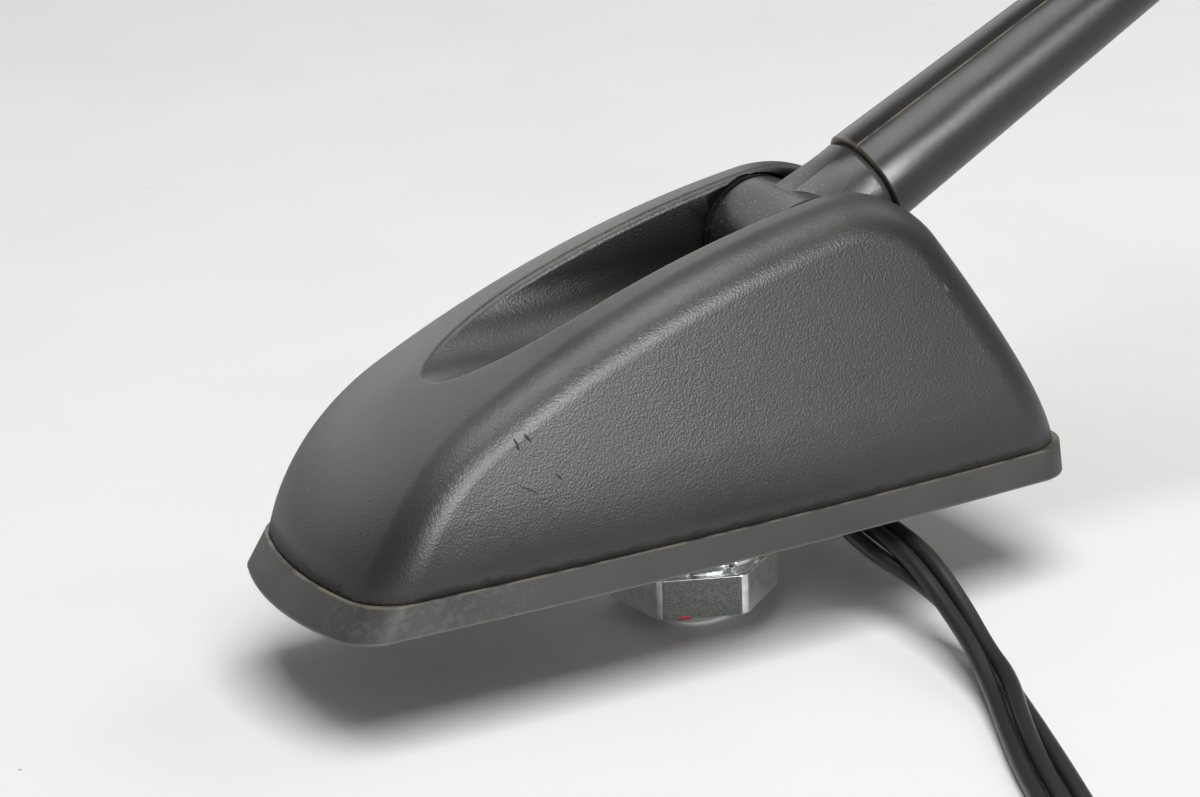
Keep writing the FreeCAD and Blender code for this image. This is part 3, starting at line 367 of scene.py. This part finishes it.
across = reach_along(mast_plastic, from_hinge.outputs["Vector"], across_parting)
reach = reach_along(mast_plastic, from_hinge.outputs["Vector"], along_mast)
parting = combined(
    mast_plastic, "MULTIPLY",
    range_of(mast_plastic, combined(mast_plastic, "ABSOLUTE", across, 0.0), 0.00016, 0.00008),
    range_of(mast_plastic, cloudy(mast_plastic, 300.0), 0.35, 0.6, 0.3, 1.0),
)
foot_dirt = combined(
    mast_plastic, "MULTIPLY", range_of(mast_plastic, reach, mast_foot + 0.0009, mast_foot + 0.0004),
    cloudy(mast_plastic, 200.0),
)
sheath = tinted(mast_plastic, parting, mast_black, parting_dirt)
sheath = tinted(mast_plastic, foot_dirt, sheath, ring_dirt)
sheath = tinted(mast_plastic, specks(mast_plastic, 160.0, 0.05, 0.12), sheath, (0.3, 0.28, 0.24))
wire(mast_plastic, sheath, "Base Color")
wire(mast_plastic, range_of(mast_plastic, cloudy(mast_plastic, 60.0), 0.3, 0.7, 0.32, 0.38), "Roughness")
skin_of("mast_sheath", "mast", mast_plastic)
ring_rubber = new_finish("ring_rubber", (0.012, 0.012, 0.012), 0.7)
raised(ring_rubber, cloudy(ring_rubber, 1500.0), 0.00002)
dress(("collar_ring",), ring_rubber)


# Cable boot, cables and plugs. A rubber boot fills the plate's cable hole; three thin coaxial cables leave
# it side by side, drop to the table in one bundle and fan out to moulded plugs.
boot_rubber = new_finish("boot_rubber", (0.025, 0.025, 0.026), 0.5)
raised(boot_rubber, cloudy(boot_rubber, 800.0), 0.00003)
skin_of("cable_boot", "base", boot_rubber, bevel=0.0006)

cable_thickness = 0.0026
millimetres_in_metre = 1000
cable_jacket = new_finish("cable_jacket", (0.022, 0.022, 0.024), 0.38)
raised(cable_jacket, cloudy(cable_jacket, 500.0), 0.00004)
wire(cable_jacket, range_of(cable_jacket, cloudy(cable_jacket, 80.0), 0.3, 0.7, 0.32, 0.44), "Roughness")
plug_plastic = new_finish("plug_plastic", (0.035, 0.035, 0.037), 0.48)
raised(plug_plastic, cloudy(plug_plastic, 900.0), 0.00002)
bundle_line = [
    (24.4, -9.5, -4.5), (24.4, -17, -4.9), (24.6, -27, -6.6), (24.6, -37, -10.2), (22.9, -46, -13.4),
    (20.4, -55, -16.2), (15.6, -66, -16.2), (10.6, -78, -16.2), (5.6, -91, -16.2), (0.2, -104.5, -16.2),
    (-8, -117.5, -16.2), (-19, -129, -16.2), (-33, -139, -14.3), (-48, -145, -14.3),
]
radio_steps = [
    (-3.1, 0, 0), (-2.9, 0, -1.8), (0.5, 0.6, -2.9), (1.3, 0.8, -2.3), (1.9, 0.7, -1.9), (1.6, -0.3, 0),
    (2.2, -1, 0.1), (2.75, -1.15, 0), (2.75, -1.15, 0), (2.7, -1.5, 0), (2.9, -2.3, 0), (3.1, -3.4, 0),
    (3, -5.4, 0), (3, -7.4, 0),
]
satellite_steps = [
    (0, 0, 0), (0, 0, 0), (-0.75, -0.1, 0.4), (-1.65, -0.1, 0.25), (-2.05, -0.45, 1.3), (-2.1, 0.5, 1.5),
    (-2.2, 1, 0.3), (-2.75, 1.15, 0), (-2.75, 1.15, 0), (-2.7, 1.5, 0), (-2.9, 2.3, 0), (-3.1, 3.4, 0),
    (-3, 5.4, 0), (-3, 7.4, 0),
]
phone_steps = [
    (3.1, 0, 0), (3.1, 0, 0.2), (1.9, -0.2, 1.15), (1.2, -0.1, 0.35), (0.75, -0.2, 0.5), (0.75, -0.2, 2.8),
    (0, 0, 1.6), (0, 0, 0.2), (0, 0, 0), (0, 0, 0), (0, 0, 0), (0, 0, 0), (0, 0, 0), (0, 0, 0),
]
for use, steps, length in (
    ("radio", radio_steps, 0.1705), ("satellite", satellite_steps, 0.1613), ("phone", phone_steps, 0.1659),
):
    line = bpy.data.curves.new(use + "_line", "CURVE")
    line.dimensions = "3D"
    line.bevel_depth = cable_thickness / 2
    line.bevel_resolution = 5
    line.use_fill_caps = True
    run = line.splines.new("NURBS")
    run.points.add(len(bundle_line) - 1)
    for point, place, step in zip(run.points, bundle_line, steps):
        point.co = (*((a + b) / millimetres_in_metre for a, b in zip(place, step)), 1.0)
    run.order_u = 3
    run.use_endpoint_u = True
    run.resolution_u = 10
    cable = bpy.data.objects.new(use + "_jacket", line)
    bpy.context.scene.collection.objects.link(cable)
    cable.data.materials.append(cable_jacket)
    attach(cable, "base")
    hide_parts(use + "_cable")
    plug = skin_of(use + "_plug", "base", plug_plastic, bevel=0.0004)


# Table top and light. A pale sheet under one soft light overhead and a weaker one from the right.
# Two reflectors, low in front and wide behind, show only in the gloss; the cover's ridge stays dark between.
table_height = -0.0175
bpy.ops.object.select_all(action="DESELECT")
bpy.ops.mesh.primitive_plane_add(size=6.0, location=(0, 0, table_height))
table = bpy.context.object
table.name = "table_top"
clean_sheet, used_sheet, sheet_specks = (0.91, 0.91, 0.898), (0.89, 0.89, 0.876), (0.45, 0.44, 0.42)
table_white = new_finish("table_white", clean_sheet, 0.6)
sheet = range_of(table_white, cloudy(table_white, 14.0), 0.4, 0.7)
sheet = tinted(table_white, sheet, clean_sheet, used_sheet)
sheet = tinted(table_white, specks(table_white, 55.0, 0.02, 0.3), sheet, sheet_specks)
wire(table_white, sheet, "Base Color")
wire(table_white, 0.0, "Specular IOR Level")
table.data.materials.append(table_white)

studio = bpy.data.worlds.new("studio")
studio.use_nodes = True
studio.node_tree.nodes["Background"].inputs["Color"].default_value = (1.0, 1.0, 1.0, 1.0)
studio.node_tree.nodes["Background"].inputs["Strength"].default_value = 0.16
bpy.context.scene.world = studio
for name, place, width, height, power, lights_table in (
    ("overhead_softbox", (-0.05, -0.5, 1.6), 1.2, 1.25, 27.0, True),
    ("right_panel", (1.15, 0.05, 1.0), 0.8, 0.6, 2.5, True),
    ("front_reflector", (0.18, -1.42, 0.38), 0.66, 0.62, 30.0, False),
    ("back_reflector", (-0.3, 1.45, 0.8), 2.6, 1.3, 16.0, False),
):
    lamp = bpy.data.lights.new(name, "AREA")
    lamp.shape = "RECTANGLE"
    lamp.size = width
    lamp.size_y = height
    lamp.energy = power
    softbox = bpy.data.objects.new(name, lamp)
    softbox.location = place
    softbox.rotation_euler = Vector(place).to_track_quat("Z", "Y").to_euler()
    softbox.visible_diffuse = lights_table
    bpy.context.scene.collection.objects.link(softbox)


# Camera. At the height and turn from which the antenna is seen nose to the left, with the mast running out
# of the picture at the top and the cables at the bottom.
turn, rise, roll = math.radians(-28), math.radians(20), math.radians(2.3)
distance, pixels_per_unit = 0.480, 3072
picture_width, picture_height = 1200, 797
stud_across, stud_down = 691, 505
towards = Vector((math.sin(turn) * math.cos(rise), -math.cos(turn) * math.cos(rise), math.sin(rise)))
level = Vector((0, 0, 1)).cross(towards).normalized()
upright = towards.cross(level)
right = math.cos(roll) * level - math.sin(roll) * upright
up = math.sin(roll) * level + math.cos(roll) * upright
lens = bpy.data.cameras.new("camera")
lens.sensor_width = 36.0
lens.lens = lens.sensor_width * pixels_per_unit / picture_width
lens.clip_start = 0.01
camera = bpy.data.objects.new("camera", lens)
stud_right = (stud_across - picture_width / 2) / pixels_per_unit * distance
stud_up = (picture_height / 2 - stud_down) / pixels_per_unit * distance
camera.location = towards * distance - right * stud_right - up * stud_up
axes = camera.matrix_world.to_3x3()
for column, axis in enumerate((right, up, towards)):
    for row in range(3):
        axes[row][column] = axis[row]
camera.rotation_euler = axes.to_euler()
bpy.context.scene.collection.objects.link(camera)
bpy.context.scene.camera = camera
bpy.context.scene.view_settings.view_transform = "Standard"
